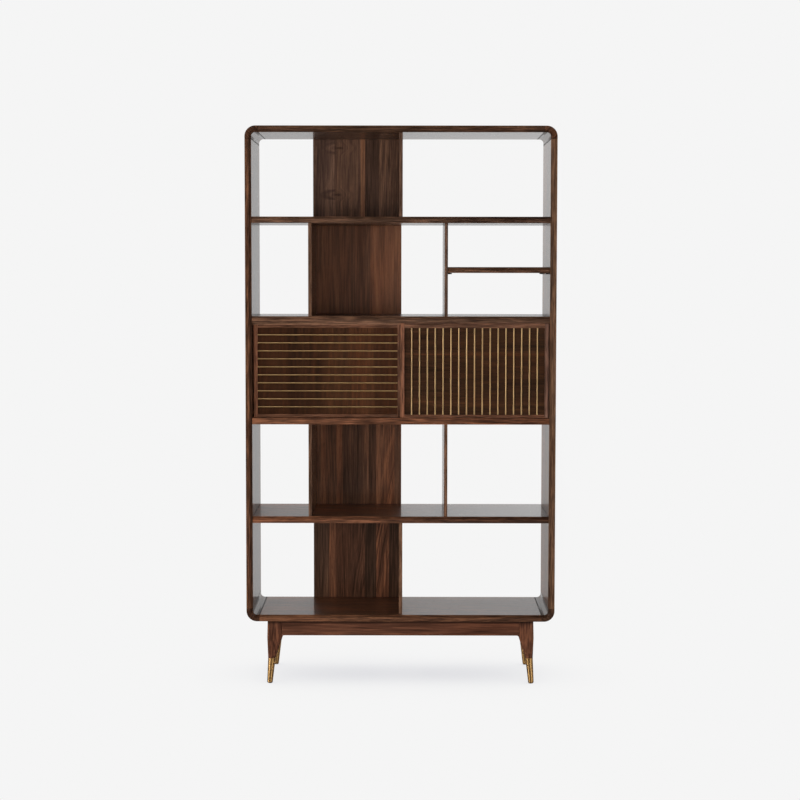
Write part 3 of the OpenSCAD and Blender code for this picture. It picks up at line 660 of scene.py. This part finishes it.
def even_staves(bm, axis, width, tone, warmth):
    """Staves of about one width, each near the board's look: share, tone, warmth and figure."""
    low, high = box_of(bm)
    count = max(1, round((high[axis] - low[axis]) / width))
    return [(1 + chance.uniform(-SHARE_SPREAD, SHARE_SPREAD),
             tone + chance.uniform(-TONE_SPREAD, TONE_SPREAD),
             warmth + chance.uniform(-WARMTH_SPREAD, WARMTH_SPREAD),
             chance.uniform(*FIGURE_RANGE)) for _ in range(count)]


def glued_ends(bm, grain, reach):
    """Tells whether a place is within reach of an end of a board, where it is glued to the next."""
    low, high = box_of(bm)

    def at_end(place):
        if grain in AXES:
            axis = AXES[grain]
            return min(place[axis] - low[axis], high[axis] - place[axis]) < reach
        # A corner block is glued on the two sides that are nearest the middle of the case
        inner_x = min(abs(low.x), abs(high.x))
        inner_z = low.z if low.z > CASE_MIDDLE.z else high.z
        return min(abs(abs(place.x) - inner_x), abs(place.z - inner_z)) < reach
    return at_end


def soften(bm, glued):
    """Rounds the long sharp edges and marks the new faces as worn, or as glue where they are glued."""
    wear = bm.faces.layers.float.new("wear")
    sharp = [
        edge for edge in bm.edges
        if len(edge.link_faces) == 2 and edge.calc_face_angle() > SHARP_ANGLE
        and edge.calc_length() > SHORTEST_ARRIS
    ]
    made = bmesh.ops.bevel(bm, geom=sharp, offset=ARRIS, offset_type="OFFSET", segments=ARRIS_STEPS,
                           profile=0.5, affect="EDGES", clamp_overlap=True)
    for face in made["faces"]:
        face[wear] = -1.0 if glued(face.calc_center_median()) else 1.0
    bmesh.ops.dissolve_degenerate(bm, dist=SPLINTER, edges=bm.edges)


def darken_seams(bm, grain):
    """Marks a narrow strip beside each glued end, on the inner side of the case, as a dark glue line."""
    low, high = box_of(bm)
    near = glued_ends(bm, grain, SEAM)
    seam_axes = [AXES[grain]] if grain in AXES else [AXES["x"], AXES["z"]]
    for axis in seam_axes:
        cut(bm, axis, low[axis] + SEAM)
        cut(bm, axis, high[axis] - SEAM)
    wear = bm.faces.layers.float["wear"]
    for face in bm.faces:
        place = face.calc_center_median()
        inward = face.normal.dot(CASE_MIDDLE - place) > 0
        if near(place) and inward and abs(face.normal.y) < SEAM_FORWARD:
            face[wear] = -SEAM_DARKNESS


def grow(bm, axis, cuts, staves, grain_axis):
    """Gives each stave its own heart, tone, warmth and figure."""
    heart = bm.faces.layers.float_vector.new("heart")
    look = bm.faces.layers.float_vector.new("look")
    low, high = box_of(bm)
    bounds = [low[axis], *cuts, high[axis]]
    # The axis that is neither the grain's nor the one that the staves follow
    thin = 3 - grain_axis - axis
    hearts = []
    for index, (_, _, _, figure) in enumerate(staves):
        closeness = BOLD_CLOSENESS if figure > BOLD_FIGURE else 1
        centre = (low + high) / 2
        sideways = chance.uniform(-HEART_SIDEWAYS, HEART_SIDEWAYS)
        centre[axis] = (bounds[index] + bounds[index + 1]) / 2 + sideways
        centre[thin] += chance.choice((-1, 1)) * chance.uniform(*HEART_OUTWARD) * closeness
        centre[grain_axis] += chance.uniform(-HEART_ALONG, HEART_ALONG)
        hearts.append(centre)
    for face in bm.faces:
        place = face.calc_center_median()[axis]
        index = sum(place > cut_place for cut_place in cuts)
        face[heart] = hearts[index]
        face[look] = Vector(staves[index][1:])


def paint_bevel_shade(bm, dullness):
    """Paints shade on the bevel round the inside of the case's front as a darker tone, and makes it duller
    where its grain runs out.
    """
    look = bm.faces.layers.float_vector["look"]
    dull = bm.faces.layers.float.new("dull")
    for face in bm.faces:
        inward = CASE_MIDDLE - face.calc_center_median()
        inward.y = 0
        if face.normal.y < -BEVEL_FORWARD and face.normal.dot(inward.normalized()) > BEVEL_INWARD:
            # Painted shade: the inward bevel gets a darker tone, as if it faced away from the light
            face[look] = face[look] + Vector((BEVEL_PAINTED_SHADE, 0, 0))
            face[dull] = dullness


def finish_piece(bm, name, nodes, material):
    """Turns the working mesh into a piece that stands for the CAD nodes."""
    for edge in bm.edges:
        edge.smooth = len(edge.link_faces) == 2 and edge.calc_face_angle() < SMOOTH_ANGLE
    for face in bm.faces:
        face.smooth = True
    mesh = bpy.data.meshes.new(name)
    bm.to_mesh(mesh)
    bm.free()
    mesh.materials.append(material)
    piece = bpy.data.objects.new(name, mesh)
    bpy.context.scene.collection.objects.link(piece)
    normals = piece.modifiers.new("even_normals", "WEIGHTED_NORMAL")
    normals.keep_sharp = True
    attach(piece, body_of[nodes[0]])
    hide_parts(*nodes)


def board(node, grain, stave_axis, stave_width=STAVE_WIDTH):
    """A softened copy of a board, glued from staves side by side."""
    bm = welded(node)
    in_frame = slot_of[node] == "walnut_frame"
    soften(bm, glued_ends(bm, grain, ARRIS))
    if in_frame:
        darken_seams(bm, grain)
    axis = AXES[stave_axis]
    staves = PLANKS.get(node) or even_staves(bm, axis, stave_width, *LOOKS.get(node, PLAIN_LOOK))
    cuts = split_staves(bm, axis, [stave[0] for stave in staves])
    # The slanting grain of a corner block counts as one along x here
    grow(bm, axis, cuts, staves, AXES.get(grain, AXES["x"]))
    if in_frame and node != "bottom_board":
        paint_bevel_shade(bm, BEVEL_DULLNESS if grain not in AXES else 0.0)
    finish_piece(bm, node + "_wood", [node], wood(node, grain))


def make_case():
    """Boards, shelves, dividers, back boards and corner blocks of the case."""
    for node in ("top_board", "bottom_board", "upper_shelf", "cabinet_top", "cabinet_bottom", "lower_shelf",
                 "small_shelf", "parting_strip"):
        board(node, "x", "y")
    for node in ("left_side", "right_side", "top_row_divider", "second_row_left_divider",
                 "second_row_right_divider", "fourth_row_left_divider", "fourth_row_right_divider",
                 "bottom_row_divider", "cabinet_partition"):
        board(node, "z", "y")
    for node in ("top_row_back", "second_row_back", "fourth_row_back", "bottom_row_back", "cabinet_back"):
        board(node, "z", "x", BACK_STAVE)
    board("top_left_corner", "falling", "y")
    board("bottom_right_corner", "falling", "y")
    board("top_right_corner", "rising", "y")
    board("bottom_left_corner", "rising", "y")


def make_doors():
    """Frames and panels of the two doors."""
    for door in ("left_door_", "right_door_"):
        for stile in ("left_stile", "right_stile"):
            board(door + stile, "z", "x")
        for rail in ("top_rail", "bottom_rail"):
            board(door + rail, "x", "z")
    board("left_door_panel", "z", "x", PANEL_STAVE)
    board("right_door_panel", "x", "z", PANEL_STAVE)


def make_base():
    """Legs and rails under the case."""
    for side in ("front", "back"):
        board(side + "_apron", "x", "z")
        for hand in ("left", "right"):
            board(f"{side}_{hand}_leg", "z", "x")
    for hand in ("left", "right"):
        board(hand + "_apron", "y", "z")


def dress_nodes():
    """Finishes of the CAD nodes that stay."""
    brass = linear(212, 176, 126)
    deep_brass = linear(204, 162, 106)
    finishes = {
        "brass_rod": brushed("brass_rod", brass, 0.34, "z", spread=0.06, relief=0.08),
        "brass_ferrule": brushed("brass_ferrule", deep_brass, 0.34, "z", spread=0.1, turned_gloss=0.9),
        "support_metal": brushed("support_metal", linear(70, 56, 46), 0.4, "x"),
        "screw_steel": brushed("screw_steel", linear(170, 170, 174), 0.35, "z"),
        "beech": beech("beech"),
        "glide_nylon": moulded("glide_nylon", linear(28, 28, 29), 0.45),
    }
    for node, piece in frame["nodes"].items():
        if piece.hide_render:
            continue
        piece.data.materials.clear()
        piece.data.materials.append(finishes[slot_of[node]])


def set_floor():
    """A pale floor that keeps the soft shadow under the case."""
    mesh = bpy.data.meshes.new("floor")
    bm = bmesh.new()
    bmesh.ops.create_circle(bm, cap_ends=True, segments=FLOOR_SIDES, radius=FLOOR_RADIUS)
    bm.to_mesh(mesh)
    bm.free()
    floor = bpy.data.objects.new("floor", mesh)
    bpy.context.scene.collection.objects.link(floor)
    material, tree, place = new_material("floor")
    open_share = tree.add("AmbientOcclusion", {"Distance": SHADOW_DISTANCE}, out="AO",
                          samples=SHADOW_SAMPLES)
    covered = tree.math("SUBTRACT", 1.0, open_share)
    shadow = tree.times(tree.times(covered, covered), SHADOW_DEPTH)
    white = tree.mix(shadow, (WHITE, WHITE, WHITE, 1), (0, 0, 0, 1))
    white = tree.add("Emission", {"Color": tree.mix(shadow, white, tree.tint(white, SHADOW_TINT))})
    mirrored = tree.add("LightPath", out="Is Glossy Ray")
    plain = tree.add("BsdfDiffuse", {"Color": tree.mix(mirrored, FLOOR_COLOUR, MIRROR_FLOOR)})
    clear = tree.remap(tree.part(place, AXES["y"]), *MIRROR_CLEAR)
    seen = tree.add("LightPath", out="Is Camera Ray")
    for ray in ("Is Glossy Ray", "Is Transmission Ray"):
        seen = tree.math("MAXIMUM", seen, tree.times(tree.add("LightPath", out=ray), clear))
    tree.output("OutputMaterial", tree.add("MixShader", {0: seen, 1: plain, 2: white}))
    mesh.materials.append(material)


def add_lamp(name, place, size, power):
    """A soft lamp that neither the camera nor gloss sees."""
    data = bpy.data.lights.new(name, "AREA")
    data.shape = "RECTANGLE"
    data.size, data.size_y = size
    data.energy = power
    lamp = bpy.data.objects.new(name, data)
    bpy.context.scene.collection.objects.link(lamp)
    lamp.location = place
    lamp.rotation_mode = "QUATERNION"
    lamp.rotation_quaternion = (LAMP_AIM - Vector(place)).to_track_quat("-Z", "Y")
    lamp.visible_camera = False
    lamp.visible_glossy = False


def set_studio():
    """White behind the object, lighter at the sides, dim above and behind the camera, and the lamps."""
    scene = bpy.context.scene
    scene.view_settings.view_transform = "Standard"
    world = bpy.data.worlds.new("studio")
    scene.world = world
    tree = Nodes(world)
    direction = tree.add("TexCoord", out="Generated")
    x, y, z = (tree.part(direction, axis) for axis in range(3))
    aside = tree.math("ABSOLUTE", x)
    glossy = tree.add("LightPath", out="Is Glossy Ray")
    room = tree.remap(aside, *SIDE_RANGE, FRONT_LEVEL, SIDE_LEVEL, smooth=True)
    room = tree.times(room, tree.remap(z, *CEILING_RANGE, 1.0, CEILING_SHARE, smooth=True))
    room = tree.times(room, tree.remap(glossy, 0.0, 1.0, 1.0, MIRRORED_ROOM))
    for axis, (middle, half, level) in ((x, SIDE_PANELS[0]), (x, SIDE_PANELS[1]), (z, TOP_PANEL)):
        off = tree.math("ABSOLUTE", tree.math("SUBTRACT", axis, middle))
        panel = tree.times(tree.remap(off, half * PANEL_CORE, half, 1.0, 0.0, smooth=True), level)
        room = tree.plus(room, panel, glossy)
    backdrop = tree.remap(z, *BACKDROP_TOP, WHITE, CEILING_SHARE, smooth=True)
    backdrop = tree.times(backdrop, tree.remap(aside, *BACKDROP_SIDES, 1.0, BACKDROP_REST, smooth=True))
    behind = tree.remap(y, *BEHIND_RANGE, smooth=True)
    room = tree.add("Mix", {0: behind, 2: room, 3: backdrop})
    direct = tree.add("LightPath", out="Is Camera Ray")
    direct = tree.math("MAXIMUM", direct, tree.add("LightPath", out="Is Transmission Ray"))
    strength = tree.add("Mix", {0: direct, 2: room, 3: WHITE})
    white = (1, 1, 1, 1)
    tree.output("OutputWorld", tree.add("Background", {"Color": white, "Strength": strength}))
    for lamp in LAMPS:
        add_lamp(*lamp)


set_camera()
make_case()
make_doors()
make_base()
dress_nodes()
set_floor()
set_studio()
